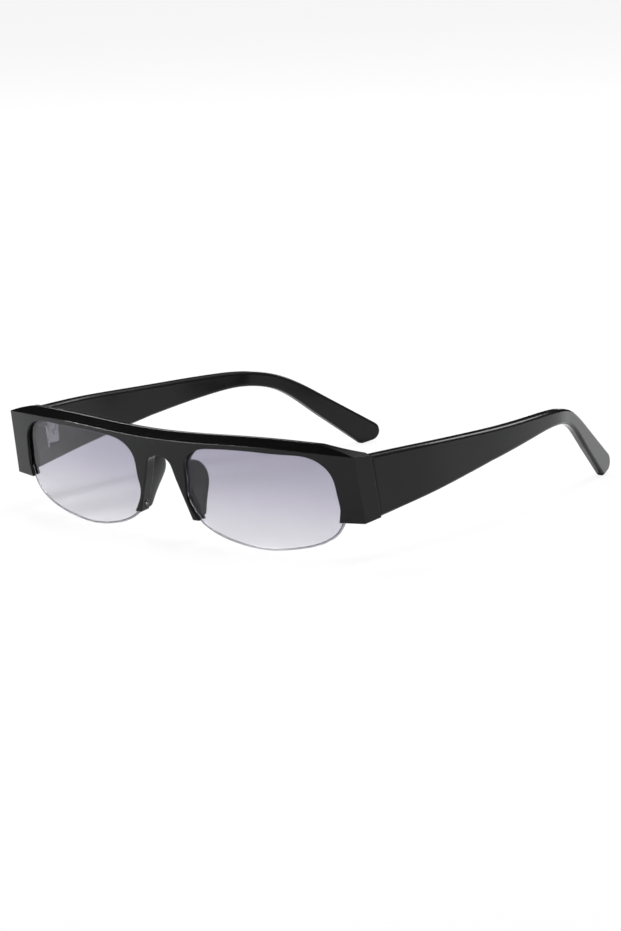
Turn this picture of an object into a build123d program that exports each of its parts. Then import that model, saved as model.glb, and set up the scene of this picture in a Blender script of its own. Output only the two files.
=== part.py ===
from build123d import *
import os
from math import acos, atan2, cos, pi, radians, sin, sqrt, tan

# Half-rim sunglasses: a black brow bar with a keyhole nose bridge, two lenses hung on clear line,
# built-up nose pads and wide temples that fold on three-knuckle hinges.
# Millimetres. +Z is up, the front faces -Y, and +X is the wearer's left. The glasses stand open on
# the lens bottoms and the temple tips at Z = 0, and the origin lies under the middle of the overall box.
os.makedirs("parts", exist_ok=True)

# Front: a bowed slab that leans forward at the top
front_width = 145.4            # over the two lugs at their top corners
front_bow = 9.1                # how far the middle stands ahead of the lugs
front_thickness = 3.7
front_tilt = 8.4               # degrees, top forward
front_y = -65.4                # the lugs' face plane where it would meet the floor
brow_edge_height = 33.4        # highest point of the edge between face and bevel
brow_edge_shares = ((0.0, 0.981), (0.22, 0.989), (0.44, 1.000), (0.72, 0.984), (1.0, 0.942))
bevel_height = 2.7
bevel_depth = 1.5
roof_fall = 0.55               # from the ridge down to the back edge
edge_round = 0.35              # tumbled edges of the brow and the arch
rim_round = 0.25               # front edges of the lens openings

# Lugs: the ends of the front, which meet the temples
lug_depth = 6.8                # face to the joint with the temple
lug_width = 1.6                # width of the joint face
lug_cove = 10.0                # hollow between the joint face and the slab's back
cove_share = (0.35, 0.45)      # its middle, of its width and height, from the joint face
lug_foot_height = 11.1
lug_flare = 0.8                # how much wider the lug is at its foot
lug_splay = 0.6                # how much wider it is at the joint than at the face
hip_run = 17.7                 # length of the lug's sloping top facet
hip_rise = 4.1                 # its rise over that length
hip_share = (0.38, 0.545)      # its middle, of its length and rise

# Nose bridge
arch_height = 27.2
arch_waist_half = 6.6
leg_foot_half = 10.9
leg_foot_height = 7.9
arch_waist_share = 0.72        # height of the waist, of the arch
arch_crown_shares = ((0.81, 0.868), (0.66, 0.945), (0.38, 0.989))

# Lenses
lens_height = 32.0
lens_inner_x = 9.2
lens_margin = 6.1              # lens to the lug's top corner, across
lens_bottom_height = 0.34
lens_thickness = 1.6
lens_depth = 1.1               # face of the front to the face of the lens
lens_lip = 0.5                 # how far the rim covers the lens edge
lens_clearance = 0.05
lens_top_shares = (
    (0.988, 0.590), (0.965, 0.810), (0.880, 0.948), (0.700, 0.990), (0.480, 1.000),
    (0.230, 0.992), (0.095, 0.945), (0.022, 0.820), (0.010, 0.610),
)
lens_top_index = 4             # the one that reaches furthest up
lens_lowest_share = 0.486      # where the lens reaches furthest down
lens_low_shares = (
    (0.046, 0.288), (0.078, 0.204), (0.150, 0.127), (0.248, 0.064), (0.364, 0.020), (lens_lowest_share, 0.0),
    (0.610, 0.018), (0.732, 0.051), (0.842, 0.106), (0.928, 0.190), (0.976, 0.304), (0.992, 0.436),
)

# Clear line that holds each lens: half of its thickness lies in the lens edge
line_diameter = 0.7
line_clearance = 0.05
line_hole_rise = 1.6           # between its two holes through the leg
line_end_depth = 1.5           # how far it goes into the upper hole
line_loop_gap = 0.05           # under the loop on the nose side of the leg

# Nose pads: rounded fins on the backs of the legs
pad_thickness = 2.3
pad_reach = 8.2                # furthest behind the back of the front
pad_foot = 8.4                 # height where the pad begins
pad_top = 25.0
pad_height_shares = (0.0, 0.2, 0.4, 0.6, 0.8, 0.93, 1.0)
pad_reach_shares = (0.25, 0.48, 0.75, 0.96, 0.93, 0.72, 0.36)
pad_thickness_shares = (0.62, 0.88, 1.0, 1.04, 0.98, 0.74, 0.30)
pad_centre_share = 0.3         # middle of each section, from the leg's back to the rear edge
pad_splay = 1.3                # how far their rear edges lean outwards
pad_crown_share = 0.95         # least half distance between the pads, of the arch's waist

# Temples
temple_gap = 0.25              # to the lug when open
temple_thickness = 4.0
temple_reach = 142.2           # joint to the rear of the tip
ear_run = 52.2                 # start of the ear bend to the rear of the tip
temple_bulge = 2.4             # how much further out the temple reaches than the lug's top corner
temple_top_height = 31.6
# Runs along the temple count from 0 at the joint through 1, where the ear bend begins, to 2 at the rear
temple_plan_shares = (
    (0.158, 0.991), (0.269, 1.000), (0.474, 0.997), (0.648, 0.987), (0.806, 0.968), (0.948, 0.940),
    (1.128, 0.903), (1.284, 0.862),
)
temple_start_share = 0.976     # half spread at the joint
temple_end_share = 0.677       # half spread at the rear of the tip
temple_top_shares = ((0.253, 0.997), (0.648, 0.968), (0.916, 0.958), (1.128, 0.932), (1.322, 0.854))
temple_low_shares = ((0.648, 0.672), (0.901, 0.765), (1.074, 0.785), (1.284, 0.715))
temple_foot_share = 0.383      # lower edge at the joint
tip_top_angle = 32.5           # degrees below level, upper edge of the drop
tip_low_angle = 38.0           # lower edge
tip_radius = 3.2
tip_centre_height = 3.8
heel_radius = 1.5
heel_setback = 6.4             # tip's rear to the middle of the heel
tip_top_run = 21.0             # straight stretch of the upper edge
tip_low_run = 18.5
temple_round = 0.9             # tumbled edges
tip_thinning = 0.3             # how much of the thickness the temple loses from the ear bend to the rear
side_share = 0.5               # least share of X in the direction of a side face
core_size = 1.4                # steel strip inside the temple
core_start = 18.0              # from the joint
core_end = 12.0                # from its end to the rear of the tip
core_start_share = 0.73        # its height there, of the temple's top
core_shares = ((0.648, 0.82), (0.948, 0.868), (1.128, 0.85))

# Hinges
hinge_height = 23.2            # middle of the knuckles
knuckle_length = 2.0
knuckle_gap = 0.1
knuckle_radius = 1.5
knuckle_count = 3
swing_clearance = 0.15
pin_radius = 0.7
pin_clearance = 0.04
pin_offset = 1.9               # inwards from the temple's inner face
pin_setback = 2.2              # from the joint
leaf_thickness = 0.9
leaf_inlay = 0.4               # how far each leaf is let in
leaf_margin = 0.3              # leaf beyond the knuckles, up and down
front_leaf_width = 3.6         # inwards from the pin
temple_leaf_length = 9.5
leaf_corner = 0.5
web_share = 0.7                # width of the web between knuckle and leaf, of the knuckle
seat_margin = 0.3              # front's hinge seat beyond the leaf
screw_head_radius = 1.15
screw_head_height = 0.55
slot_width = 0.3
slot_depth = 0.25
leaf_screw_radius = 0.45
leaf_screw_head_radius = 0.85
leaf_screw_head_height = 0.3
leaf_screw_length = 2.6
leaf_screw_spacing = 3.6
screw_clearance = 0.03
overlap = 0.1                  # how far pieces of one solid run into each other
overrun = 3.0                  # how far cutters and blanks pass what they cut

# Derived frame of the front
tilt = radians(front_tilt)
up_front = Vector(0, -sin(tilt), cos(tilt))
back_front = Vector(0, cos(tilt), sin(tilt))
half_width = front_width / 2
lens_width = half_width - lens_margin - lens_inner_x
face_radius = (half_width**2 + front_bow**2) / (2 * front_bow)


def face_depth(x, inset=0):
    """Depth at x of the bowed face, or of a surface that lies inset behind it, from the lugs' face."""
    return face_radius - front_bow - sqrt((face_radius - inset) ** 2 - x**2)


lens_middle = lens_depth + lens_thickness / 2
lens_low_x = lens_inner_x + lens_width * lens_lowest_share
front_lift = -face_depth(lens_low_x, lens_middle) * sin(tilt)
front_origin = Vector(0, front_y, front_lift)
front_plane = Plane(origin=front_origin, x_dir=(1, 0, 0), z_dir=-back_front)
plan_plane = Plane(origin=front_origin, x_dir=(1, 0, 0), z_dir=up_front)
joint_plane = Plane(origin=front_origin + back_front * lug_depth, x_dir=(1, 0, 0), z_dir=-back_front)
blank_height = brow_edge_height + bevel_height + overrun
blank_depth = front_bow + lug_depth + overrun


def on_front(x, height, depth):
    """A point in space from its place on the front: across, up, and behind the lugs' face."""
    return front_origin + Vector(1, 0, 0) * x + up_front * height + back_front * depth


def joint_y(height):
    """Where the joint between lug and temple lies at a height above the floor."""
    return front_y + (lug_depth - (height - front_lift) * sin(tilt)) / cos(tilt)


def line_radii(points):
    """The widest tangent arcs that a route allows, one for each of its corners."""
    radii = []
    for before, corner, after in zip(points, points[1:], points[2:]):
        turn = radians((corner - before).get_angle(after - corner))
        shorter = min((corner - before).length, (after - corner).length)
        radii.append(0.45 * shorter / tan(turn / 2))
    return radii


def lens_point(share, growth=0):
    """A point of the lens outline on the front plane, or of one drawn larger all round by growth."""
    across = lens_inner_x - growth + (lens_width + 2 * growth) * share[0]
    return Vector(across, lens_bottom_height - growth + (lens_height + 2 * growth) * share[1])


def lens_blank(growth=0):
    """A prism of the lens outline: a spline over the top, and tangent arcs where the line holds it."""
    low = [lens_point(share, growth) for share in lens_low_shares]
    top = [lens_point(share, growth) for share in lens_top_shares]
    with BuildPart() as blank:
        with BuildSketch(front_plane):
            with BuildLine():
                FilletPolyline(*low, radius=line_radii(low))
                Spline(low[-1], *top, low[0], tangents=(low[-1] - low[-2], low[1] - low[0]))
            make_face()
        extrude(amount=blank_depth, both=True)
    return blank.part


def lens_plate(growth=0):
    """The lens as a plate that follows the bow, or the room for it, larger all round by growth."""
    with BuildPart() as plate:
        add(lens_blank(growth))
        with BuildSketch(plan_plane):
            with BuildLine():
                bowed_plate(lens_depth - growth, lens_depth + lens_thickness + growth)
            make_face()
        extrude(amount=blank_height, both=True, mode=Mode.INTERSECT)
    return plate.part


def bowed_plate(near, far):
    """Plan of a plate that follows the bow, between two depths behind the face."""
    for inset in (near, far):
        ends = face_depth(half_width, inset)
        ThreePointArc((-half_width, ends), (0, inset - front_bow), (half_width, ends))
    for side in (-half_width, half_width):
        Line((side, face_depth(side, near)), (side, face_depth(side, far)))


def save(name, part):
    """Label a finished piece and write it out."""
    part.label = name
    export_step(part, f"parts/{name}.step")


def save_pair(name, part):
    """Write the piece of the wearer's left side, and its mirror image for the right."""
    save("left_" + name, part)
    save("right_" + name, mirror(part, about=Plane.YZ))


# Pieces run from here on. The low stretch of the lens edge carries the line
low_points = [lens_point(share) for share in lens_low_shares]

# The line's route: in at the leg's upper hole, round its nose side, back through the lower hole, along
# the lens edge and up between lens and lug
line_radius = line_diameter / 2
leg_lean = (leg_foot_half - arch_waist_half) / (arch_height * arch_waist_share - leg_foot_height)
low_hole = low_points[0].Y
high_hole = low_hole + line_hole_rise
loop_reach = line_radius + line_loop_gap


def leg_nose_x(height):
    """Nose side of the straight stretch of the leg."""
    return leg_foot_half - leg_lean * (height - leg_foot_height)


def line_point(x, height):
    """A point of the route at the middle of the lens thickness."""
    return on_front(x, height, face_depth(x, lens_middle))


line_route = [
    line_point(leg_nose_x(high_hole) + line_end_depth, high_hole),
    line_point(leg_nose_x(high_hole) - loop_reach, high_hole),
    line_point(leg_nose_x(low_hole) - loop_reach, low_hole),
]
line_route += [line_point(point.X, point.Y) for point in low_points]
line_bends = line_radii(line_route)


def line_tube(radius):
    """A tube of a given radius along the line's route."""
    with BuildPart() as tube:
        with BuildLine() as route:
            FilletPolyline(*line_route, radius=line_bends)
        path = route.wire()
        with BuildSketch(Plane(origin=path @ 0, z_dir=path % 0)):
            Circle(radius)
        sweep(path=path)
    return tube.part, path.length


line_solid, line_length = line_tube(line_radius)
groove_solid = line_tube(line_radius + line_clearance)[0]
with BuildPart() as left_lens_line:
    add(line_solid)
save_pair("lens_line", left_lens_line.part)
print("line bend radii", [round(radius, 2) for radius in line_bends])
section_run = pi * line_radius**2 * line_length
line_share = line_solid.volume / section_run
print("line length", round(line_length, 2), "volume over section times length", round(line_share, 4))

# Lenses, grooved along the low edge
with BuildPart() as left_lens:
    add(lens_plate())
    add(groove_solid, mode=Mode.SUBTRACT)
save_pair("lens", left_lens.part)

# Front: brow bar, lugs and nose legs in one piece
lug_top = brow_edge_height * brow_edge_shares[-1][1]
lug_inner_x = half_width - lug_width
lug_outer_x = half_width + overrun
cove_inner_x = lug_inner_x - lug_cove
cove_floor = face_depth(cove_inner_x, front_thickness)
arch_waist = arch_height * arch_waist_share


# Hinge places, from the pin
temple_half = half_width + temple_bulge
body_run = temple_reach - ear_run
temple_start_y = joint_y(temple_top_height)
temple_start_x = temple_half * temple_start_share
temple_lean = Vector(
    temple_half * (temple_plan_shares[0][1] - temple_start_share),
    body_run * temple_plan_shares[0][0],
).normalized()
pin_y = joint_y(hinge_height) + pin_setback
hinge_face_x = temple_start_x + temple_lean.X / temple_lean.Y * (pin_y - temple_start_y) - temple_thickness
pin_x = hinge_face_x - pin_offset
hinge_length = knuckle_count * knuckle_length + (knuckle_count - 1) * knuckle_gap
leaf_height = hinge_length + 2 * leaf_margin
hinge_low = hinge_height - hinge_length / 2
hinge_up = (hinge_height - front_lift - (lug_depth - leaf_inlay) * sin(tilt)) / cos(tilt)
seat_plane = Plane(
    origin=front_origin + back_front * (lug_depth - leaf_inlay), x_dir=(1, 0, 0), z_dir=-back_front
)
front_leaf_outer_x = pin_x + knuckle_radius - swing_clearance
front_leaf_inner_x = pin_x - front_leaf_width
front_screw_x = (front_leaf_inner_x + pin_x - knuckle_radius) / 2
seat_inner_x = front_leaf_inner_x - seat_margin
seat_outer_x = lug_inner_x
seat_depth = lug_depth - leaf_inlay - front_thickness - face_depth(seat_inner_x) + overlap
screw_rises = (-leaf_screw_spacing / 2, leaf_screw_spacing / 2)
hip_direction = (Vector(0, temple_start_y, temple_top_height) - on_front(0, lug_top, 0)).normalized()

with BuildPart() as front_frame:
    stations = [(-x, height) for x, height in reversed(brow_edge_shares[1:])] + list(brow_edge_shares)
    for share, height_share in stations:
        x = lug_outer_x * share
        edge_height = brow_edge_height * height_share
        near = face_depth(x)
        far = face_depth(x, front_thickness)
        with BuildSketch(Plane(origin=on_front(x, 0, 0), x_dir=back_front, z_dir=(1, 0, 0))):
            with BuildLine():
                FilletPolyline(
                    (near, -overrun),
                    (near, edge_height),
                    (near + bevel_depth, edge_height + bevel_height),
                    (far, edge_height + bevel_height - roof_fall),
                    (far, -overrun),
                    radius=edge_round,
                )
                Line((near, -overrun), (far, -overrun))
            make_face()
    loft()
    # Lugs, their tops level with the hips that the outline cuts later
    for side in (-1, 1):
        with BuildSketch(plan_plane):
            with BuildLine():
                Polyline(
                    (side * cove_inner_x, cove_floor),
                    (side * cove_inner_x, cove_floor - overlap),
                    (side * lug_outer_x, face_depth(lug_outer_x, overlap)),
                    (side * lug_outer_x, lug_depth),
                    (side * lug_inner_x, lug_depth),
                )
                ThreePointArc(
                    (side * lug_inner_x, lug_depth),
                    (
                        side * (lug_inner_x - lug_cove * cove_share[0]),
                        lug_depth - (lug_depth - cove_floor) * (1 - cove_share[1]),
                    ),
                    (side * cove_inner_x, cove_floor),
                )
            make_face()
        extrude(amount=blank_height)
    # Outline seen from the front
    with BuildSketch(front_plane):
        with BuildLine():
            Polyline(
                (0, blank_height),
                (lug_outer_x, blank_height),
                (lug_outer_x, lug_foot_height),
                (half_width - hip_run, lug_foot_height),
                (leg_foot_half * 2, leg_foot_height),
                (leg_foot_half, leg_foot_height),
            )
            leg_side = Line((leg_foot_half, leg_foot_height), (arch_waist_half, arch_waist))
            Spline(
                (arch_waist_half, arch_waist),
                *[(arch_waist_half * u, arch_height * v) for u, v in arch_crown_shares],
                (0, arch_height),
                tangents=(leg_side % 1, (-1, 0)),
            )
            mirror(about=Plane.YZ)
        make_face()
    extrude(amount=blank_depth, both=True, mode=Mode.INTERSECT)
    # Hips: the lugs' tops, which run back to the temples' tops
    for side in (-1, 1):
        with BuildSketch(front_plane):
            with BuildLine():
                ThreePointArc(
                    (side * (half_width - hip_run), lug_top + hip_rise),
                    (side * (half_width - hip_run * hip_share[0]), lug_top + hip_rise * hip_share[1]),
                    (side * (half_width + lug_flare), lug_top),
                )
                Polyline(
                    (side * (half_width + lug_flare), lug_top),
                    (side * lug_outer_x, lug_top),
                    (side * lug_outer_x, blank_height + overrun),
                    (side * (half_width - hip_run), blank_height + overrun),
                    (side * (half_width - hip_run), lug_top + hip_rise),
                )
            make_face()
        extrude(amount=blank_depth, dir=hip_direction, both=True, mode=Mode.SUBTRACT)
    # Lugs' outer sides, wider at the foot and at the joint
    for side in (-1, 1):
        corner = on_front(side * half_width, lug_top, 0)
        foot = on_front(side * (half_width + lug_flare), lug_foot_height, 0)
        rear = on_front(side * (half_width + lug_splay), lug_top, lug_depth)
        inward = (rear - corner).cross(foot - corner) * side
        split(bisect_by=Plane(origin=corner, z_dir=inward), keep=Keep.TOP)
    # Lens openings, slots for the lens edges, and holes for the line
    for cutter in (lens_blank(-lens_lip), lens_plate(lens_clearance), groove_solid):
        add(cutter, mode=Mode.SUBTRACT)
        add(mirror(cutter, about=Plane.YZ, mode=Mode.PRIVATE), mode=Mode.SUBTRACT)
    # Hinge seats behind the lugs
    for side in (-1, 1):
        with BuildSketch(seat_plane):
            with Locations((side * (seat_inner_x + seat_outer_x) / 2, hinge_up)):
                Rectangle(seat_outer_x - seat_inner_x, leaf_height + 2 * seat_margin)
        extrude(amount=seat_depth)
        with BuildSketch(seat_plane):
            with Locations(*[(side * front_screw_x, hinge_up + rise) for rise in screw_rises]):
                Circle(leaf_screw_radius + screw_clearance)
        extrude(amount=leaf_screw_length, mode=Mode.SUBTRACT)
    # Tumbled edges of the arch, and of the openings in front
    for depth in (-front_bow, front_thickness - front_bow):
        fillet(front_frame.edges().sort_by_distance(on_front(0, arch_height, depth))[0], edge_round)
    rim_top = lens_point(lens_top_shares[lens_top_index], -lens_lip)
    for side in (-1, 1):
        rim = on_front(side * rim_top.X, rim_top.Y, face_depth(rim_top.X))
        fillet(front_frame.edges().sort_by_distance(rim)[0], rim_round)
save("front_frame", front_frame.part)

# Nose pads: fins whose sections are level ellipses, from inside the leg to the pad's rear edge
with BuildPart() as left_nose_pad:
    for rise, reach, fatness in zip(pad_height_shares, pad_reach_shares, pad_thickness_shares):
        height = pad_foot + (pad_top - pad_foot) * rise
        width = pad_thickness * fatness
        root_x = max(leg_nose_x(height), arch_waist_half * pad_crown_share) + width / 2
        root = Vector(root_x, face_depth(root_x, front_thickness) - width)
        rear_depth = face_depth(root_x, front_thickness) + pad_reach * reach
        rear = Vector(root_x + pad_splay * reach, rear_depth)
        middle = root + (rear - root) * pad_centre_share
        with BuildSketch(Plane(origin=on_front(0, height, 0), x_dir=(1, 0, 0), z_dir=up_front)):
            with Locations(Location((middle.X, middle.Y), atan2(rear.Y - root.Y, rear.X - root.X) * 180 / pi)):
                Ellipse((rear - middle).length, width / 2)
    loft()
    with BuildSketch(plan_plane):
        with BuildLine():
            bowed_plate(-overrun, front_thickness)
        make_face()
    extrude(amount=blank_height, mode=Mode.SUBTRACT)
save_pair("nose_pad", left_nose_pad.part)

# Hinges
knuckle_pitch = knuckle_length + knuckle_gap
web_width = knuckle_radius * 2 * web_share


def knuckle_heights(first):
    """Bottoms of the front's knuckles, from 0, or of the temple's, from 1."""
    return [hinge_low + knuckle_pitch * index for index in range(first, knuckle_count, 2)]


def swing_room(first):
    """Cylinders round the other leaf's knuckles, which this leaf keeps clear of."""
    with BuildPart() as room:
        for bottom in knuckle_heights(first):
            with BuildSketch(Plane.XY.offset(bottom - knuckle_gap)):
                with Locations((pin_x, pin_y)):
                    Circle(knuckle_radius + swing_clearance)
            extrude(amount=knuckle_length + 2 * knuckle_gap)
    return room.part


front_room = swing_room(1)
temple_room = swing_room(0)
with BuildPart() as pin_hole:
    with BuildSketch(Plane.XY.offset(hinge_low - overrun)):
        with Locations((pin_x, pin_y)):
            Circle(pin_radius + pin_clearance)
    extrude(amount=hinge_length + 2 * overrun)

with BuildPart() as left_front_hinge_leaf:
    for bottom in knuckle_heights(0):
        with BuildSketch(Plane.XY.offset(bottom)):
            with Locations((pin_x, pin_y)):
                Circle(knuckle_radius)
            with Locations((pin_x, pin_y - pin_setback)):
                Rectangle(web_width, pin_setback * 2)
        extrude(amount=knuckle_length)
    split(bisect_by=seat_plane, keep=Keep.BOTTOM)
    with BuildSketch(seat_plane):
        with Locations(((front_leaf_inner_x + front_leaf_outer_x) / 2, hinge_up)):
            Rectangle(front_leaf_outer_x - front_leaf_inner_x, leaf_height)
    extrude(amount=-leaf_thickness)
    add(front_room, mode=Mode.SUBTRACT)
    add(pin_hole.part, mode=Mode.SUBTRACT)
    with BuildSketch(seat_plane):
        with Locations(*[(front_screw_x, hinge_up + rise) for rise in screw_rises]):
            Circle(leaf_screw_radius + screw_clearance)
    extrude(amount=-leaf_thickness, mode=Mode.SUBTRACT)
save_pair("front_hinge_leaf", left_front_hinge_leaf.part)

# Inner face of the temple at the hinge: x along the temple, y up
hinge_face = Plane(
    origin=(hinge_face_x, pin_y, hinge_height),
    x_dir=(temple_lean.X, temple_lean.Y, 0),
    z_dir=(-temple_lean.Y, temple_lean.X, 0),
)
leaf_floor = hinge_face.offset(-leaf_inlay)
temple_leaf_start = swing_clearance - knuckle_radius
temple_leaf_middle = temple_leaf_start + temple_leaf_length / 2
temple_screw_start = temple_leaf_start + temple_leaf_length - leaf_screw_head_radius * 2
temple_screw_places = [(temple_screw_start - run, 0) for run in (0, leaf_screw_spacing)]
with BuildPart() as leaf_blank:
    with BuildSketch(leaf_floor):
        with Locations((temple_leaf_middle, 0)):
            RectangleRounded(temple_leaf_length, leaf_height, leaf_corner)
    extrude(amount=leaf_thickness)

with BuildPart() as left_temple_hinge_leaf:
    add(leaf_blank.part)
    for bottom in knuckle_heights(1):
        with BuildSketch(Plane.XY.offset(bottom)):
            with Locations((pin_x, pin_y)):
                Circle(knuckle_radius)
            with Locations((pin_x + pin_offset / 2, pin_y)):
                Rectangle(pin_offset, web_width)
        extrude(amount=knuckle_length)
    add(temple_room, mode=Mode.SUBTRACT)
    add(pin_hole.part, mode=Mode.SUBTRACT)
    with BuildSketch(leaf_floor):
        with Locations(*temple_screw_places):
            Circle(leaf_screw_radius + screw_clearance)
    extrude(amount=leaf_thickness, mode=Mode.SUBTRACT)
save_pair("temple_hinge_leaf", left_temple_hinge_leaf.part)

with BuildPart() as left_hinge_screw:
    head_seat = hinge_low + hinge_length
    with BuildSketch(Plane.XY.offset(hinge_low)):
        with Locations((pin_x, pin_y)):
            Circle(pin_radius)
    extrude(amount=hinge_length)
    with BuildSketch(Plane.XY.offset(head_seat)):
        with Locations((pin_x, pin_y)):
            Circle(screw_head_radius)
    extrude(amount=screw_head_height)
    with BuildSketch(Plane.XY.offset(head_seat + screw_head_height)):
        with Locations((pin_x, pin_y)):
            Rectangle(slot_width, screw_head_radius * 2 + overrun)
    extrude(amount=-slot_depth, mode=Mode.SUBTRACT)
save_pair("hinge_screw", left_hinge_screw.part)


def leaf_screws(plane, places):
    """Two pan-head screws that hold a leaf, their heads on the leaf's face."""
    with BuildPart() as screws:
        with BuildSketch(plane):
            with Locations(*places):
                Circle(leaf_screw_head_radius)
        extrude(amount=leaf_screw_head_height)
        with BuildSketch(plane):
            with Locations(*places):
                Circle(leaf_screw_radius)
        extrude(amount=-leaf_screw_length)
        with BuildSketch(plane.offset(leaf_screw_head_height)):
            with Locations(*places):
                Rectangle(leaf_screw_head_radius * 2 + slot_width, slot_width)
        extrude(amount=-leaf_screw_head_height / 2, mode=Mode.SUBTRACT)
    return screws.part


front_leaf_face = Plane(
    origin=front_origin + back_front * (lug_depth - leaf_inlay + leaf_thickness),
    x_dir=(1, 0, 0),
    z_dir=back_front,
)
front_places = [(front_screw_x, -hinge_up - rise) for rise in screw_rises]
save_pair("front_leaf_screws", leaf_screws(front_leaf_face, front_places))
save_pair("temple_leaf_screws", leaf_screws(leaf_floor.offset(leaf_thickness), temple_screw_places))


# Temples
rear_y = temple_start_y + temple_reach
tip_centre = Vector(rear_y - tip_radius, tip_centre_height)
heel_centre = Vector(rear_y - heel_setback, heel_radius)
drop_top = Vector(cos(radians(tip_top_angle)), -sin(radians(tip_top_angle)))
drop_low = Vector(cos(radians(tip_low_angle)), -sin(radians(tip_low_angle)))
tip_upper = tip_centre + Vector(-drop_top.Y, drop_top.X) * tip_radius
heel_lower = heel_centre + Vector(drop_low.Y, -drop_low.X) * heel_radius
span = tip_centre - heel_centre
end_angle = atan2(span.Y, span.X) - acos((heel_radius - tip_radius) / span.length)
end_normal = Vector(cos(end_angle), sin(end_angle))


def run_y(run):
    """Where a run along the temple ends, from 0 at the joint through 1 at the ear bend to 2 at the rear."""
    return temple_start_y + body_run * min(run, 1) + ear_run * max(run - 1, 0)


def side_point(share):
    """A point of the temple's side view: back from the joint, and up."""
    return Vector(run_y(share[0]), temple_top_height * share[1])


def thinned(depth, run):
    """A depth below the temple's outer face, less what the thinning towards the rear takes from it."""
    return depth * (1 - tip_thinning * max(run - 1, 0))


def plan_edge(shift):
    """The temple's outer face in plan, moved inwards by shift."""
    places = [Vector(temple_half * share - thinned(shift, run), run_y(run)) for run, share in temple_plan_shares]
    start = places[0] - temple_lean * (body_run * temple_plan_shares[0][0] + overrun)
    end = Vector(temple_half * temple_end_share - thinned(shift, 2), rear_y)
    end = end + (end - places[-1]).normalized() * overrun
    Line(start, places[0])
    Spline(*places, tangents=(temple_lean, end - places[-1]))
    Line(places[-1], end)
    return start, end


def plan_band(outer, inner):
    """Plan of a band that follows the temple, between two depths behind its outer face."""
    starts = []
    ends = []
    for shift in (outer, inner):
        start, end = plan_edge(shift)
        starts.append(start)
        ends.append(end)
    Line(*starts)
    Line(*ends)


def temple_outline():
    """Side view of the temple."""
    front = temple_start_y - overrun
    top_end = tip_upper - drop_top * tip_top_run
    low_end = heel_lower - drop_low * tip_low_run
    foot = side_point((0, temple_foot_share))
    low_rise = side_point(temple_low_shares[0]) - foot
    Line((front, temple_top_height), side_point((0, 1)))
    Spline(
        side_point((0, 1)), *[side_point(share) for share in temple_top_shares], top_end,
        tangents=((1, 0), drop_top),
    )
    Line(top_end, tip_upper)
    RadiusArc(tip_upper, tip_centre + end_normal * tip_radius, tip_radius)
    Line(tip_centre + end_normal * tip_radius, heel_centre + end_normal * heel_radius)
    RadiusArc(heel_centre + end_normal * heel_radius, heel_lower, heel_radius)
    Line(heel_lower, low_end)
    Spline(
        low_end, *[side_point(share) for share in reversed(temple_low_shares)], foot,
        tangents=(-drop_low, -low_rise),
    )
    Line(foot, foot - low_rise.normalized() * overrun * 2)
    Line(foot - low_rise.normalized() * overrun * 2, (front, temple_top_height))


with BuildPart() as left_temple_core:
    strip_end = (tip_centre + heel_centre) / 2 - drop_top * core_end
    with BuildSketch(Plane.YZ):
        with BuildLine():
            places = [side_point((core_start / body_run, core_start_share))]
            places += [side_point(share) for share in core_shares]
            places.append(strip_end)
            core_tangents = (places[1] - places[0], drop_top)
            for shift in (-core_size / 2, core_size / 2):
                Spline(*[place + Vector(0, shift) for place in places], tangents=core_tangents)
            for place in (places[0], places[-1]):
                Line(place - Vector(0, core_size / 2), place + Vector(0, core_size / 2))
        make_face()
    extrude(amount=temple_half * 2)
    with BuildSketch(Plane.XY):
        with BuildLine():
            plan_band((temple_thickness - core_size) / 2, (temple_thickness + core_size) / 2)
        make_face()
    extrude(amount=temple_top_height * 2, mode=Mode.INTERSECT)
save_pair("temple_core", left_temple_core.part)

with BuildPart() as left_temple:
    with BuildSketch(Plane.YZ):
        with BuildLine():
            temple_outline()
        make_face()
    extrude(amount=temple_half * 2)
    with BuildSketch(Plane.XY.offset(-overrun)):
        with BuildLine():
            plan_band(0, temple_thickness)
        make_face()
    extrude(amount=temple_top_height * 2, mode=Mode.INTERSECT)
    split(bisect_by=joint_plane.offset(-temple_gap), keep=Keep.BOTTOM)
    sides = left_temple.faces().filter_by(lambda face: abs(face.normal_at().X) > side_share)
    seams = sides.edges().filter_by(Axis.Z)
    fillet([edge for edge in sides.edges() if edge not in seams], temple_round)
    add(leaf_blank.part, mode=Mode.SUBTRACT)
    add(left_temple_core.part, mode=Mode.SUBTRACT)
    with BuildSketch(leaf_floor):
        with Locations(*temple_screw_places):
            Circle(leaf_screw_radius + screw_clearance)
    extrude(amount=-(leaf_screw_length - leaf_thickness), mode=Mode.SUBTRACT)
save_pair("temple", left_temple.part)
print("pin", round(pin_x, 3), round(pin_y, 3))
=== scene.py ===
"""Half-rim sunglasses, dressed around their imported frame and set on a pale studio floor."""

import math

import bpy
from mathutils import Matrix, Vector

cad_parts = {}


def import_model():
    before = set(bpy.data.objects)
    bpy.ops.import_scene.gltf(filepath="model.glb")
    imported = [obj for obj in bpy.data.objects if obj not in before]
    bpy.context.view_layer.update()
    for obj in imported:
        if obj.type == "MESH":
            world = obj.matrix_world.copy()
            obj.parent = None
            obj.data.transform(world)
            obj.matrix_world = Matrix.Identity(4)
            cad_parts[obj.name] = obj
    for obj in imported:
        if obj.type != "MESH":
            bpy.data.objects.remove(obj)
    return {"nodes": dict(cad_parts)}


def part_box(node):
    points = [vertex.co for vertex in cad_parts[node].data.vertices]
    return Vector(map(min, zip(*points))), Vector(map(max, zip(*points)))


bl_info = {
    "name": "Half-rim Sunglasses",
    "version": (1, 0, 0),
    "blender": (4, 5, 0),
    "location": "3D View > Sidebar > Sunglasses",
    "description": "Builds the finished surfaces of a pair of half-rim sunglasses and their studio",
    "category": "Object",
}

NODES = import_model()["nodes"]
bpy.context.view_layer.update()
SIDES = ("left", "right")
MM = 0.001

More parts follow.
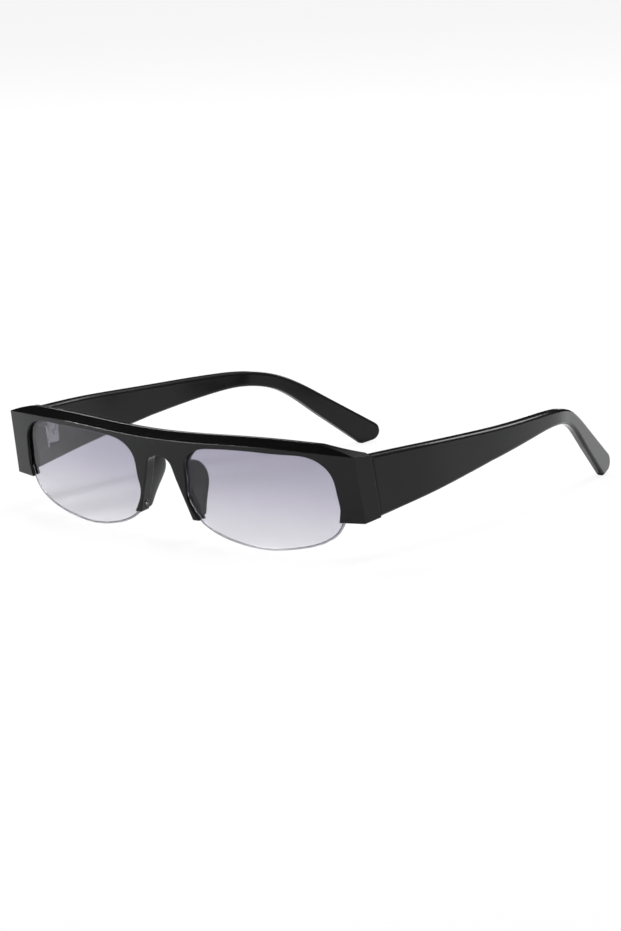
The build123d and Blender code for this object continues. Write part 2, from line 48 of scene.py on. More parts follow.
# Surface marks
BUMP_DEPTH = 0.02 * MM
PLASTIC_BUMP, LENS_BUMP, LINE_BUMP, STEEL_BUMP = 0.12, 0.05, 0.15, 0.3
EDGE_SAMPLES = 4
TONE_SPREAD = (0.8, 1.2)  # darkest and lightest patches of a plastic
STEEL_SPREAD = (0.75, 1.1)
STRIP_ROUGHNESS, LEAF_ROUGHNESS, SCREW_ROUGHNESS = 0.35, 0.28, 0.18

# Lenses and line
LENS_IOR, LENS_ROUGHNESS = 1.38, 0.012
TINT_MIDDLE = 0.55  # share of the lens height where the middle tint lies
TINT_WAVER = 1.6 * MM  # how far the tint wanders up and down
SHADOW_PALENESS = 0.55
LINE_IOR, LINE_ROUGHNESS, LINE_SHADOW = 1.53, 0.10, 0.6
SIDE_SHADE_REACH = 0.40  # how far the painted shade along the line's sides reaches in

# Studio
FLOOR_TONES = (0.90, 0.93)
FLOOR_WHITE_TO_CAMERA, FLOOR_WHITE_THROUGH_LENS = 0.86, 0.35
CEILING_EDGE = (0.38, 0.60)  # heights in a direction, from dark room to pale ceiling
BACK_EDGE = (-0.30, 0.30)  # from in front to behind
ASIDE_EDGE = (-0.10, 0.40)  # from the wearer's right to the left
LAMP_TARGET = Vector((0.0, 0.0, 0.02))
LAMPS = (  # name, size and place, in metres
    ("overhead", (0.5, 0.5), (0.15, 0.12, 1.20)),
    ("back", (0.9, 0.35), (0.0, 1.10, 0.85)),
    ("ridge", (0.3, 0.6), (-0.86, 0.46, 0.86)),
    ("side", (0.8, 0.10), (-0.87, -0.97, 0.14)),
)
SENSOR = 36.0  # millimetres, along the picture's longer side
CAMERA_REACH = 20.0  # metres


# Settings


class FrameFinish(bpy.types.PropertyGroup):
    """Black plastic of the front, the pads and the temples."""

    colour: bpy.props.FloatVectorProperty(
        name="Plastic Colour",
        description="Body colour of the black plastic",
        subtype="COLOR",
        size=3,
        min=0.0,
        max=1.0,
        default=(0.0040, 0.0042, 0.0041),
    )
    roughness: bpy.props.FloatProperty(
        name="Plastic Roughness",
        description="How soft the reflections in the polished plastic are",
        subtype="FACTOR",
        min=0.0,
        max=1.0,
        default=0.13,
    )
    sheen: bpy.props.FloatProperty(
        name="Plastic Reflection",
        description="How strongly the plastic reflects when seen square on",
        subtype="FACTOR",
        min=0.0,
        max=1.0,
        default=0.20,
    )
    pad_colour: bpy.props.FloatVectorProperty(
        name="Pad Colour",
        description="Body colour of the nose pads",
        subtype="COLOR",
        size=3,
        min=0.0,
        max=1.0,
        default=(0.017, 0.017, 0.017),
    )
    pad_roughness: bpy.props.FloatProperty(
        name="Pad Roughness",
        description="How soft the reflections in the nose pads are",
        subtype="FACTOR",
        min=0.0,
        max=1.0,
        default=0.34,
    )
    pad_sheen: bpy.props.FloatProperty(
        name="Pad Reflection",
        description="How strongly the nose pads reflect when seen square on",
        subtype="FACTOR",
        min=0.0,
        max=1.0,
        default=0.10,
    )
    broken_edge: bpy.props.FloatProperty(
        name="Broken Edge",
        description="Width over which the edges that are left sharp catch the light",
        unit="LENGTH",
        min=0.0,
        default=0.28 * MM,
    )


class LensFinish(bpy.types.PropertyGroup):
    """Gradient tint of the lenses and the look of the clear line."""

    top_tint: bpy.props.FloatVectorProperty(
        name="Top Tint",
        description="What is left of white light at the top of a lens",
        subtype="COLOR",
        size=3,
        min=0.0,
        max=1.0,
        default=(0.288, 0.272, 0.348),
    )
    middle_tint: bpy.props.FloatVectorProperty(
        name="Middle Tint",
        description="What is left of white light half way down a lens",
        subtype="COLOR",
        size=3,
        min=0.0,
        max=1.0,
        default=(0.412, 0.396, 0.470),
    )
    foot_tint: bpy.props.FloatVectorProperty(
        name="Foot Tint",
        description="What is left of white light at the foot of a lens",
        subtype="COLOR",
        size=3,
        min=0.0,
        max=1.0,
        default=(0.730, 0.728, 0.748),
    )
    line_colour: bpy.props.FloatVectorProperty(
        name="Line Colour",
        description="Colour of the clear nylon line, seen through its middle",
        subtype="COLOR",
        size=3,
        min=0.0,
        max=1.0,
        default=(0.80, 0.80, 0.81),
    )
    # Painted shade: a dark colour laid along the clear line's sides, where it is seen edge on.
    line_painted_side_shade: bpy.props.FloatVectorProperty(
        name="Line Painted Side Shade",
        description="Painted shade along the sides of the clear nylon line",
        subtype="COLOR",
        size=3,
        min=0.0,
        max=1.0,
        default=(0.03, 0.03, 0.032),
    )


class HingeFinish(bpy.types.PropertyGroup):
    """Stamped steel of the hinges, the screws and the strips in the temples."""

    colour: bpy.props.FloatVectorProperty(
        name="Steel Colour",
        description="Colour of the bright stamped steel",
        subtype="COLOR",
        size=3,
        min=0.0,
        max=1.0,
        default=(0.42, 0.415, 0.40),
    )
    edge_round: bpy.props.FloatProperty(
        name="Steel Edge Rounding",
        description="Width of the broken edges of the steel pieces",
        unit="LENGTH",
        min=0.0,
        default=0.08 * MM,
    )


class Studio(bpy.types.PropertyGroup):
    """Floor, lamps and camera."""

    azimuth: bpy.props.FloatProperty(
        name="Camera Azimuth",
        description="How far the camera stands round to the wearer's left of the front",
        subtype="ANGLE",
        default=math.radians(42.514),
    )
    elevation: bpy.props.FloatProperty(
        name="Camera Elevation",
        description="How steeply the camera looks down",
        subtype="ANGLE",
        default=math.radians(11.201),
    )
    roll: bpy.props.FloatProperty(
        name="Camera Roll",
        description="How far the camera is turned about its own line of sight",
        subtype="ANGLE",
        default=math.radians(-2.063),
    )
    camera_place: bpy.props.FloatVectorProperty(
        name="Camera Place",
        description="Where the camera stands",
        subtype="XYZ",
        unit="LENGTH",
        size=3,
        default=(0.84029, -0.92618, 0.25796),
    )
    focal_length: bpy.props.FloatProperty(
        name="Focal Length",
        description="Focal length in millimetres",
        min=1.0,
        default=154.67,
    )
    floor_size: bpy.props.FloatProperty(
        name="Floor Size",
        description="Width of the studio floor",
        unit="LENGTH",
        min=0.5,
        default=4.0,
    )
    overhead_power: bpy.props.FloatProperty(
        name="Overhead Lamp",
        description="Power of the lamp overhead, in watts",
        min=0.0,
        default=7.0,
    )
    back_power: bpy.props.FloatProperty(
        name="Back Lamp",
        description="Power of the wide lamp behind, which draws the temples' edges, in watts",
        min=0.0,
        default=5.0,
    )
    ridge_power: bpy.props.FloatProperty(
        name="Ridge Lamp",
        description="Power of the small lamp behind the wearer's right, which draws the ridge, in watts",
        min=0.0,
        default=7.0,
    )
    side_power: bpy.props.FloatProperty(
        name="Side Lamp",
        description="Power of the narrow lamp low in front, on the wearer's right, in watts",
        min=0.0,
        default=11.0,
    )
    daylight: bpy.props.FloatProperty(
        name="Daylight",
        description="Strength of the plain light that comes from everywhere",
        min=0.0,
        default=0.44,
    )
    dark_room: bpy.props.FloatProperty(
        name="Dark Room",
        description="How bright the room is in reflections, away from the pale ceiling behind",
        min=0.0,
        default=0.03,
    )
    pale_wall: bpy.props.FloatProperty(
        name="Pale Wall",
        description="How bright the wall behind the wearer's left is in reflections",
        min=0.0,
        default=0.35,
    )
    pale_ceiling: bpy.props.FloatProperty(
        name="Pale Ceiling",
        description="How bright the ceiling behind the glasses is in reflections",
        min=0.0,
        default=0.90,
    )


# Materials


def node(tree, kind, place, **values):
    """A node of a tree at a place on its canvas, with some of its own settings."""
    made = tree.nodes.new(kind)
    made.location = place
    for key, value in values.items():
        setattr(made, key, value)
    return made


def join(tree, *pairs):
    """Link pairs of sockets."""
    for start, end in pairs:
        tree.links.new(start, end)


def group_sockets(tree, inputs, outputs):
    """Named sockets of a node group, and its two end nodes."""
    for name, kind, value in inputs:
        socket = tree.interface.new_socket(name, in_out="INPUT", socket_type=kind)
        socket.default_value = value
    for name, kind in outputs:
        tree.interface.new_socket(name, in_out="OUTPUT", socket_type=kind)
    return node(tree, "NodeGroupInput", (-1000, 0)), node(tree, "NodeGroupOutput", (800, 0))


def polish_group():
    """Marks of wear and polish: soft patches, hairline rubs and orange peel, as values and a height."""
    tree = bpy.data.node_groups.new("Polish and Rubs", "ShaderNodeTree")
    start, end = group_sockets(
        tree,
        (
            ("Vector", "NodeSocketVector", (0.0, 0.0, 0.0)),
            ("Roughness", "NodeSocketFloat", 0.25),
            ("Patch Scale", "NodeSocketFloat", 60.0),
            ("Patch Amount", "NodeSocketFloat", 0.06),
            ("Rub Scale", "NodeSocketFloat", 900.0),
            ("Rub Amount", "NodeSocketFloat", 0.10),
            ("Orange Peel", "NodeSocketFloat", 0.5),
        ),
        (
            ("Roughness", "NodeSocketFloat"),
            ("Patches", "NodeSocketFloat"),
            ("Height", "NodeSocketFloat"),
        ),
    )
    patches = node(tree, "ShaderNodeTexNoise", (-700, 250))
    patches.inputs["Detail"].default_value = 5.0
    patches.inputs["Roughness"].default_value = 0.55
    rub_stretch = node(tree, "ShaderNodeMapping", (-860, -80))
    rub_stretch.inputs["Scale"].default_value = (0.18, 0.10, 1.0)
    rub_stretch.inputs["Rotation"].default_value = (0.3, 0.5, 0.2)
    rubs = node(tree, "ShaderNodeTexNoise", (-660, -60))
    rubs.inputs["Detail"].default_value = 3.0
    rubs.inputs["Roughness"].default_value = 0.7
    rub_lines = node(tree, "ShaderNodeMapRange", (-460, -60))
    rub_lines.inputs["From Min"].default_value = 0.56
    rub_lines.inputs["From Max"].default_value = 0.74
    peel = node(tree, "ShaderNodeTexNoise", (-660, -360))
    peel.inputs["Scale"].default_value = 1400.0
    peel.inputs["Detail"].default_value = 2.0
    patch_part = node(tree, "ShaderNodeMath", (-240, 260), operation="MULTIPLY_ADD")
    rub_part = node(tree, "ShaderNodeMath", (-40, 160), operation="MULTIPLY_ADD")
    patch_centre = node(tree, "ShaderNodeMath", (-460, 300), operation="SUBTRACT")
    patch_centre.inputs[1].default_value = 0.5
    peel_part = node(tree, "ShaderNodeMath", (-240, -300), operation="MULTIPLY")
    height = node(tree, "ShaderNodeMath", (160, -200), operation="MULTIPLY_ADD")
    height.inputs[1].default_value = -0.35
    join(
        tree,
        (start.outputs["Vector"], patches.inputs["Vector"]),
        (start.outputs["Patch Scale"], patches.inputs["Scale"]),
        (start.outputs["Vector"], rub_stretch.inputs["Vector"]),
        (rub_stretch.outputs["Vector"], rubs.inputs["Vector"]),
        (start.outputs["Rub Scale"], rubs.inputs["Scale"]),
        (rubs.outputs["Fac"], rub_lines.inputs["Value"]),
        (start.outputs["Vector"], peel.inputs["Vector"]),
        (patches.outputs["Fac"], patch_centre.inputs[0]),
        (patch_centre.outputs[0], patch_part.inputs[0]),
        (start.outputs["Patch Amount"], patch_part.inputs[1]),
        (start.outputs["Roughness"], patch_part.inputs[2]),
        (rub_lines.outputs["Result"], rub_part.inputs[0]),
        (start.outputs["Rub Amount"], rub_part.inputs[1]),
        (patch_part.outputs[0], rub_part.inputs[2]),
        (peel.outputs["Fac"], peel_part.inputs[0]),
        (start.outputs["Orange Peel"], peel_part.inputs[1]),
        (rub_lines.outputs["Result"], height.inputs[0]),
        (peel_part.outputs[0], height.inputs[2]),
        (rub_part.outputs[0], end.inputs["Roughness"]),
        (patches.outputs["Fac"], end.inputs["Patches"]),
        (height.outputs[0], end.inputs["Height"]),
    )
    return tree


def shader_material(name):
    """A new material with its Principled shader, its output and Object coordinates."""
    material = bpy.data.materials.new(name)
    material.use_nodes = True
    tree = material.node_tree
    tree.nodes.clear()
    output = node(tree, "ShaderNodeOutputMaterial", (900, 0))
    shader = node(tree, "ShaderNodeBsdfPrincipled", (560, 0))
    coordinates = node(tree, "ShaderNodeTexCoord", (-900, 0))
    join(tree, (shader.outputs["BSDF"], output.inputs["Surface"]))
    return material, tree, shader, coordinates.outputs["Object"], output


def add_polish(tree, shader, coordinates, values, bump):
    """The shared polish group, feeding a shader's roughness and bump."""
    polish = node(tree, "ShaderNodeGroup", (-300, -100))
    polish.node_tree = bpy.data.node_groups["Polish and Rubs"]
    for key, value in values.items():
        polish.inputs[key].default_value = value
    raised = node(tree, "ShaderNodeBump", (200, -300))
    raised.inputs["Strength"].default_value = bump
    raised.inputs["Distance"].default_value = BUMP_DEPTH
    join(
        tree,
        (coordinates, polish.inputs["Vector"]),
        (polish.outputs["Roughness"], shader.inputs["Roughness"]),
        (polish.outputs["Height"], raised.inputs["Height"]),
        (raised.outputs["Normal"], shader.inputs["Normal"]),
    )
    return polish, raised


def plastic_material(name, colour, roughness, sheen, broken_edge):
    """Polished plastic, its colour a touch uneven, its sharp edges broken."""
    material, tree, shader, coordinates, _ = shader_material(name)
    shader.inputs["Specular IOR Level"].default_value = sheen
    polish, raised = add_polish(
        tree, shader, coordinates, {"Roughness": roughness, "Patch Amount": 0.05, "Rub Amount": 0.05},
        PLASTIC_BUMP,
    )
    broken = node(tree, "ShaderNodeBevel", (0, -480), samples=EDGE_SAMPLES)
    broken.inputs["Radius"].default_value = broken_edge
    tone = node(tree, "ShaderNodeMix", (60, 200), data_type="RGBA")
    for end, spread in zip("AB", TONE_SPREAD):
        tone.inputs[end].default_value = (*[part * spread for part in colour], 1.0)
    join(
        tree,
        (broken.outputs["Normal"], raised.inputs["Normal"]),
        (polish.outputs["Patches"], tone.inputs["Factor"]),
        (tone.outputs["Result"], shader.inputs["Base Color"]),
    )
    return material


def lens_material(name, settings, low, high):
    """Tinted lens, darkest at the top. Lamps pass it with little loss, so its shadow stays faint."""
    material, tree, shader, coordinates, output = shader_material(name)
    shader.inputs["Transmission Weight"].default_value = 1.0
    shader.inputs["IOR"].default_value = LENS_IOR
    parts = node(tree, "ShaderNodeSeparateXYZ", (-700, 250))
    waver = node(tree, "ShaderNodeTexNoise", (-700, 450))
    waver.inputs["Scale"].default_value = 35.0
    waver.inputs["Detail"].default_value = 2.0
    wavy = node(tree, "ShaderNodeMath", (-500, 350), operation="MULTIPLY_ADD")
    wavy.inputs[1].default_value = TINT_WAVER
    height = node(tree, "ShaderNodeMapRange", (-300, 300))
    height.inputs["From Min"].default_value = low
    height.inputs["From Max"].default_value = high
    tint = node(tree, "ShaderNodeValToRGB", (-80, 300))
    ramp = tint.color_ramp
    ramp.interpolation = "B_SPLINE"
    ramp.elements[0].position = 0.0
    ramp.elements[0].color = (*settings.foot_tint, 1.0)
    ramp.elements[1].position = 1.0
    ramp.elements[1].color = (*settings.top_tint, 1.0)
    middle = ramp.elements.new(TINT_MIDDLE)
    middle.color = (*settings.middle_tint, 1.0)
    add_polish(
        tree, shader, coordinates,
        {"Roughness": LENS_ROUGHNESS, "Patch Amount": 0.01, "Rub Amount": 0.02, "Orange Peel": 0.0},
        LENS_BUMP,
    )
    path = node(tree, "ShaderNodeLightPath", (300, 420))
    clear = node(tree, "ShaderNodeBsdfTransparent", (560, 200))
    pale = node(tree, "ShaderNodeMix", (300, 200), data_type="RGBA")
    pale.inputs["Factor"].default_value = SHADOW_PALENESS
    pale.inputs["B"].default_value = (1.0, 1.0, 1.0, 1.0)
    mixed = node(tree, "ShaderNodeMixShader", (760, 100))
    join(
        tree,
        (coordinates, parts.inputs["Vector"]),
        (coordinates, waver.inputs["Vector"]),
        (waver.outputs["Fac"], wavy.inputs[0]),
        (parts.outputs["Z"], wavy.inputs[2]),
        (wavy.outputs[0], height.inputs["Value"]),
        (height.outputs["Result"], tint.inputs["Fac"]),
        (tint.outputs["Color"], shader.inputs["Base Color"]),
        (tint.outputs["Color"], pale.inputs["A"]),
        (pale.outputs["Result"], clear.inputs["Color"]),
        (path.outputs["Is Shadow Ray"], mixed.inputs["Fac"]),
        (shader.outputs["BSDF"], mixed.inputs[1]),
        (clear.outputs["BSDF"], mixed.inputs[2]),
        (mixed.outputs["Shader"], output.inputs["Surface"]),
    )
    return material


def line_material(name, middle, painted_side_shade):
    """Clear drawn nylon, pale where one looks through its middle, with painted shade along its sides."""
    material, tree, shader, coordinates, output = shader_material(name)
    shader.inputs["Transmission Weight"].default_value = 1.0
    shader.inputs["IOR"].default_value = LINE_IOR
    polish, _ = add_polish(
        tree, shader, coordinates, {"Roughness": LINE_ROUGHNESS, "Rub Amount": 0.08}, LINE_BUMP,
    )
    # Painted shade: the line's colour turns dark along its sides, where it is seen edge on, with a little
    # random tone from the patches.
    uneven = node(tree, "ShaderNodeMath", (-120, 260), operation="MULTIPLY_ADD")
    uneven.inputs[1].default_value = 0.10
    facing = node(tree, "ShaderNodeLayerWeight", (-320, 320))
    facing.inputs["Blend"].default_value = SIDE_SHADE_REACH
    tone = node(tree, "ShaderNodeMix", (60, 200), data_type="RGBA")
    tone.inputs["A"].default_value = (*middle, 1.0)
    tone.inputs["B"].default_value = (*painted_side_shade, 1.0)
    path = node(tree, "ShaderNodeLightPath", (300, 420))
    clear = node(tree, "ShaderNodeBsdfTransparent", (560, 200))
    clear.inputs["Color"].default_value = (*[LINE_SHADOW] * 3, 1.0)
    mixed = node(tree, "ShaderNodeMixShader", (760, 100))
    join(
        tree,
        (polish.outputs["Patches"], uneven.inputs[0]),
        (facing.outputs["Facing"], uneven.inputs[2]),
        (uneven.outputs[0], tone.inputs["Factor"]),
        (tone.outputs["Result"], shader.inputs["Base Color"]),
        (path.outputs["Is Shadow Ray"], mixed.inputs["Fac"]),
        (shader.outputs["BSDF"], mixed.inputs[1]),
        (clear.outputs["BSDF"], mixed.inputs[2]),
        (mixed.outputs["Shader"], output.inputs["Surface"]),
    )
    return material


def steel_material(name, colour, roughness, broken_edge):
    """Bright stamped steel with uneven tone, its edges broken."""
    material, tree, shader, coordinates, _ = shader_material(name)
    shader.inputs["Metallic"].default_value = 1.0
    polish, raised = add_polish(
        tree, shader, coordinates,
        {
            "Roughness": roughness, "Patch Scale": 400.0, "Patch Amount": 0.2,
            "Rub Scale": 3000.0, "Rub Amount": 0.25,
        },
        STEEL_BUMP,
    )
    broken = node(tree, "ShaderNodeBevel", (0, -480), samples=EDGE_SAMPLES)
    broken.inputs["Radius"].default_value = broken_edge
    tone = node(tree, "ShaderNodeMix", (60, 200), data_type="RGBA")
    for end, spread in zip("AB", STEEL_SPREAD):
        tone.inputs[end].default_value = (*[min(part * spread, 1.0) for part in colour], 1.0)
    join(
        tree,
        (broken.outputs["Normal"], raised.inputs["Normal"]),
        (polish.outputs["Patches"], tone.inputs["Factor"]),
        (tone.outputs["Result"], shader.inputs["Base Color"]),
    )
    return material


def floor_material(name):
    """White floor: the camera sees it as white, with the glasses' shadows showing softly."""
    material = bpy.data.materials.new(name)
    material.use_nodes = True
    tree = material.node_tree
    tree.nodes.clear()
    output = node(tree, "ShaderNodeOutputMaterial", (700, 0))
    matt = node(tree, "ShaderNodeBsdfDiffuse", (200, 100))
    grain = node(tree, "ShaderNodeTexNoise", (-400, 100))
    grain.inputs["Scale"].default_value = 60.0
    tone = node(tree, "ShaderNodeMix", (-160, 100), data_type="RGBA")
    for end, level in zip("AB", FLOOR_TONES):
        tone.inputs[end].default_value = (level, level, level, 1.0)
    white = node(tree, "ShaderNodeEmission", (200, -100))
    path = node(tree, "ShaderNodeLightPath", (-400, 420))
    camera_share = node(tree, "ShaderNodeMath", (-100, 420), operation="MULTIPLY")
    camera_share.inputs[1].default_value = FLOOR_WHITE_TO_CAMERA
    seen_share = node(tree, "ShaderNodeMath", (-100, 260), operation="MULTIPLY")
    seen_share.inputs[1].default_value = FLOOR_WHITE_THROUGH_LENS
    share = node(tree, "ShaderNodeMath", (200, 320), operation="ADD")
    share.use_clamp = True
    mixed = node(tree, "ShaderNodeMixShader", (460, 0))
    join(
        tree,
        (grain.outputs["Fac"], tone.inputs["Factor"]),
        (tone.outputs["Result"], matt.inputs["Color"]),
        (path.outputs["Is Camera Ray"], camera_share.inputs[0]),
        (path.outputs["Is Transmission Ray"], seen_share.inputs[0]),
        (camera_share.outputs[0], share.inputs[0]),
        (seen_share.outputs[0], share.inputs[1]),
        (share.outputs[0], mixed.inputs["Fac"]),
        (matt.outputs["BSDF"], mixed.inputs[1]),
        (white.outputs["Emission"], mixed.inputs[2]),
        (mixed.outputs["Shader"], output.inputs["Surface"]),
    )
    return material


# Meshes


def deselect():
    """Nothing selected, and nothing in edit mode."""
    if bpy.context.object is not None and bpy.context.object.mode != "OBJECT":
        bpy.ops.object.mode_set(mode="OBJECT")
    bpy.ops.object.select_all(action="DESELECT")


def paint(node_name, material):
    """Give a carried-over CAD node its material."""
    target = NODES[node_name]
    target.data.materials.clear()
    target.data.materials.append(material)


# Operators


class GLASSES_OT_front(bpy.types.Operator):
    """Finish the black front"""

    bl_idname = "glasses.front"
    bl_label = "Front"

    def execute(self, context):
        finish = context.scene.glasses_frame
        material = plastic_material(
            "Black Plastic", finish.colour, finish.roughness, finish.sheen, finish.broken_edge,
        )
        paint("front_frame", material)
        return {"FINISHED"}


class GLASSES_OT_pads(bpy.types.Operator):
    """Finish the nose pads"""

    bl_idname = "glasses.pads"
    bl_label = "Nose Pads"

    def execute(self, context):
        finish = context.scene.glasses_frame
        material = plastic_material(
            "Pad Plastic", finish.pad_colour, finish.pad_roughness, finish.pad_sheen, finish.broken_edge,
        )
        for side in SIDES:
            paint(f"{side}_nose_pad", material)
        return {"FINISHED"}


class GLASSES_OT_temples(bpy.types.Operator):
    """Finish both temples and the strips inside them"""

    bl_idname = "glasses.temples"
    bl_label = "Temples"

    def execute(self, context):
        finish = context.scene.glasses_frame
        hinge = context.scene.glasses_hinge
        plastic = plastic_material(
            "Temple Plastic", finish.colour, finish.roughness, finish.sheen, finish.broken_edge,
        )
        core = steel_material("Strip Steel", hinge.colour, STRIP_ROUGHNESS, hinge.edge_round)
        for side in SIDES:
            paint(f"{side}_temple", plastic)
            paint(f"{side}_temple_core", core)
        return {"FINISHED"}


class GLASSES_OT_lenses(bpy.types.Operator):
    """Finish the two gradient lenses"""

    bl_idname = "glasses.lenses"
    bl_label = "Lenses"

    def execute(self, context):
        finish = context.scene.glasses_lens
        low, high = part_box("left_lens")
        material = lens_material("Tinted Lens", finish, low.z, high.z)
        for side in SIDES:
            paint(f"{side}_lens", material)
        return {"FINISHED"}


class GLASSES_OT_lines(bpy.types.Operator):
    """Finish the clear line that holds each lens"""

    bl_idname = "glasses.lines"
    bl_label = "Lens Lines"

    def execute(self, context):
        finish = context.scene.glasses_lens
        material = line_material("Clear Nylon", finish.line_colour, finish.line_painted_side_shade)
        for side in SIDES:
            paint(f"{side}_lens_line", material)
        return {"FINISHED"}


class GLASSES_OT_hinges(bpy.types.Operator):
    """Finish the hinge leaves and the screws"""

    bl_idname = "glasses.hinges"
    bl_label = "Hinges"

    def execute(self, context):
        finish = context.scene.glasses_hinge
        steel = steel_material("Hinge Steel", finish.colour, LEAF_ROUGHNESS, finish.edge_round)
        screw = steel_material("Screw Steel", finish.colour, SCREW_ROUGHNESS, finish.edge_round)
        for side in SIDES:
            for place in ("front", "temple"):
                paint(f"{side}_{place}_hinge_leaf", steel)
                paint(f"{side}_{place}_leaf_screws", screw)
            paint(f"{side}_hinge_screw", screw)
        return {"FINISHED"}


class GLASSES_OT_studio(bpy.types.Operator):
    """Set up the floor, the world, the lamps and the camera"""

    bl_idname = "glasses.studio"
    bl_label = "Studio"

    def execute(self, context):
        studio = context.scene.glasses_studio
        self.floor(studio)
        self.world(context, studio)
        self.lamps(context, studio)
        self.camera(context, studio)
        context.scene.view_settings.view_transform = "Standard"
        return {"FINISHED"}

    def floor(self, studio):
        """A wide white floor under the glasses."""
        deselect()
        bpy.ops.mesh.primitive_plane_add(size=studio.floor_size, location=(0.0, 0.0, 0.0))
        floor = bpy.context.object
        floor.name = "studio_floor"
        floor.data.materials.append(floor_material("Studio Floor"))

    def world(self, context, studio):
        """White to the camera and through the lenses, plain grey light, and in reflections a dark room
        that turns pale behind the glasses."""
        world = bpy.data.worlds.new("Studio World")
        context.scene.world = world
        world.use_nodes = True
        tree = world.node_tree
        tree.nodes.clear()
        output = node(tree, "ShaderNodeOutputWorld", (700, 0))
        lit = node(tree, "ShaderNodeBackground", (100, 200))
        lit.inputs["Color"].default_value = (0.98, 0.99, 1.0, 1.0)
        lit.inputs["Strength"].default_value = studio.daylight
        seen = node(tree, "ShaderNodeBackground", (300, -150))
        seen.inputs["Color"].default_value = (1.0, 1.0, 1.0, 1.0)
        seen.inputs["Strength"].default_value = 1.0
        direction = node(tree, "ShaderNodeTexCoord", (-900, -100))
        parts = node(tree, "ShaderNodeSeparateXYZ", (-720, -100))
        high = node(tree, "ShaderNodeMapRange", (-520, 0), interpolation_type="SMOOTHSTEP")
        high.inputs["From Min"].default_value = CEILING_EDGE[0]
        high.inputs["From Max"].default_value = CEILING_EDGE[1]
        behind = node(tree, "ShaderNodeMapRange", (-520, -260), interpolation_type="SMOOTHSTEP")
        behind.inputs["From Min"].default_value = BACK_EDGE[0]
        behind.inputs["From Max"].default_value = BACK_EDGE[1]
        aside = node(tree, "ShaderNodeMapRange", (-520, -500), interpolation_type="SMOOTHSTEP")
        aside.inputs["From Min"].default_value = ASIDE_EDGE[0]
        aside.inputs["From Max"].default_value = ASIDE_EDGE[1]
        aside.inputs["To Min"].default_value = studio.dark_room
        aside.inputs["To Max"].default_value = studio.pale_wall
        ceiling = node(tree, "ShaderNodeMath", (-320, -100), operation="MULTIPLY")
        wall = node(tree, "ShaderNodeMath", (-320, -340), operation="MULTIPLY")
        level = node(tree, "ShaderNodeMapRange", (-120, -100))
        level.inputs["To Max"].default_value = studio.pale_ceiling
        mirrored = node(tree, "ShaderNodeBackground", (100, 0))
        path = node(tree, "ShaderNodeLightPath", (-320, 500))
        straight = node(tree, "ShaderNodeMath", (100, 400), operation="MAXIMUM")
        room = node(tree, "ShaderNodeMixShader", (300, 100))
        mixed = node(tree, "ShaderNodeMixShader", (500, 0))
        join(
            tree,
            (direction.outputs["Generated"], parts.inputs["Vector"]),
            (parts.outputs["Z"], high.inputs["Value"]),
            (parts.outputs["Y"], behind.inputs["Value"]),
            (high.outputs["Result"], ceiling.inputs[0]),
            (behind.outputs["Result"], ceiling.inputs[1]),
            (parts.outputs["X"], aside.inputs["Value"]),
            (aside.outputs["Result"], wall.inputs[0]),
            (behind.outputs["Result"], wall.inputs[1]),
            (wall.outputs[0], level.inputs["To Min"]),
            (ceiling.outputs[0], level.inputs["Value"]),
            (level.outputs["Result"], mirrored.inputs["Strength"]),
            (path.outputs["Is Glossy Ray"], room.inputs["Fac"]),
            (lit.outputs["Background"], room.inputs[1]),
            (mirrored.outputs["Background"], room.inputs[2]),
            (path.outputs["Is Camera Ray"], straight.inputs[0]),
            (path.outputs["Is Transmission Ray"], straight.inputs[1]),
            (straight.outputs[0], mixed.inputs["Fac"]),
            (room.outputs["Shader"], mixed.inputs[1]),
            (seen.outputs["Background"], mixed.inputs[2]),
            (mixed.outputs["Shader"], output.inputs["Surface"]),
        )

    def lamps(self, context, studio):
        """One lamp overhead, which gives the shadows, and three that draw the edges."""
        for name, size, place in LAMPS:
            lamp = bpy.data.lights.new(f"{name}_lamp", "AREA")
            lamp.shape = "RECTANGLE"
            lamp.energy = getattr(studio, f"{name}_power")
            lamp.size, lamp.size_y = size
            holder = bpy.data.objects.new(f"{name}_lamp", lamp)
            holder.location = place
            aim = LAMP_TARGET - Vector(place)
            holder.rotation_euler = aim.to_track_quat("-Z", "Y").to_euler()
            context.scene.collection.objects.link(holder)

    def camera(self, context, studio):
        """A camera where the photographer's stood."""
        around, up, turn = studio.azimuth, studio.elevation, studio.roll
        right = Vector((math.cos(around), math.sin(around), 0.0))
        ahead = Vector((-math.sin(around) * math.cos(up), math.cos(around) * math.cos(up), -math.sin(up)))
        above = right.cross(ahead)
        across = right * math.cos(turn) + above * math.sin(turn)
        upward = above * math.cos(turn) - right * math.sin(turn)
        lens = bpy.data.cameras.new("photo_camera")
        lens.sensor_fit = "VERTICAL"
        lens.sensor_height = SENSOR
        lens.lens = studio.focal_length
        lens.clip_end = CAMERA_REACH
        camera = bpy.data.objects.new("photo_camera", lens)
        context.scene.collection.objects.link(camera)
        turned = Matrix((across, upward, -ahead)).transposed().to_4x4()
        camera.matrix_world = Matrix.Translation(studio.camera_place) @ turned
        context.scene.camera = camera


class GLASSES_PT_panel(bpy.types.Panel):
    """Sizes, colours and steps of the sunglasses"""

    bl_idname = "GLASSES_PT_panel"
    bl_label = "Sunglasses"
    bl_space_type = "VIEW_3D"
    bl_region_type = "UI"
    bl_category = "Sunglasses"

    def draw(self, context):
        layout = self.layout
        for label, group in GROUPS:
            box = layout.box()
            box.label(text=label)
            settings = getattr(context.scene, group)
            for name in settings.__annotations__:
                box.prop(settings, name)
        for step in STEPS:
            layout.operator(step.bl_idname)


GROUPS = (
    ("Black plastic", "glasses_frame"),
    ("Lenses", "glasses_lens"),
    ("Hinges", "glasses_hinge"),
    ("Studio", "glasses_studio"),
)
SETTINGS = (FrameFinish, LensFinish, HingeFinish, Studio)
STEPS = (
    GLASSES_OT_front,
    GLASSES_OT_pads,
    GLASSES_OT_temples,
    GLASSES_OT_lenses,
    GLASSES_OT_lines,
    GLASSES_OT_hinges,
    GLASSES_OT_studio,
)


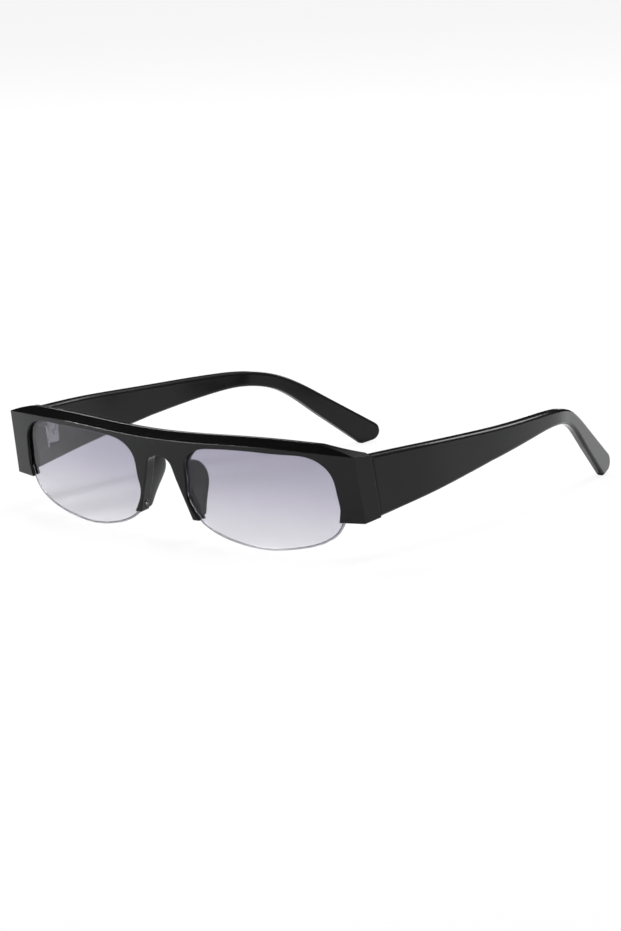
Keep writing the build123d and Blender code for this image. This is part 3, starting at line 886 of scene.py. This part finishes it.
def register():
    """Register the classes and hang the settings on the scene."""
    for each in (*SETTINGS, *STEPS, GLASSES_PT_panel):
        bpy.utils.register_class(each)
    for (_, group), settings in zip(GROUPS, SETTINGS):
        setattr(bpy.types.Scene, group, bpy.props.PointerProperty(type=settings))


def unregister():
    """Take the settings off the scene and unregister the classes."""
    for _, group in GROUPS:
        delattr(bpy.types.Scene, group)
    for each in reversed((*SETTINGS, *STEPS, GLASSES_PT_panel)):
        bpy.utils.unregister_class(each)


def main():
    register()
    polish_group()
    for step in STEPS:
        module, name = step.bl_idname.split(".")
        if getattr(getattr(bpy.ops, module), name)() != {"FINISHED"}:
            raise RuntimeError(f"{step.bl_label} did not finish")


if __name__ == "__main__":
    main()
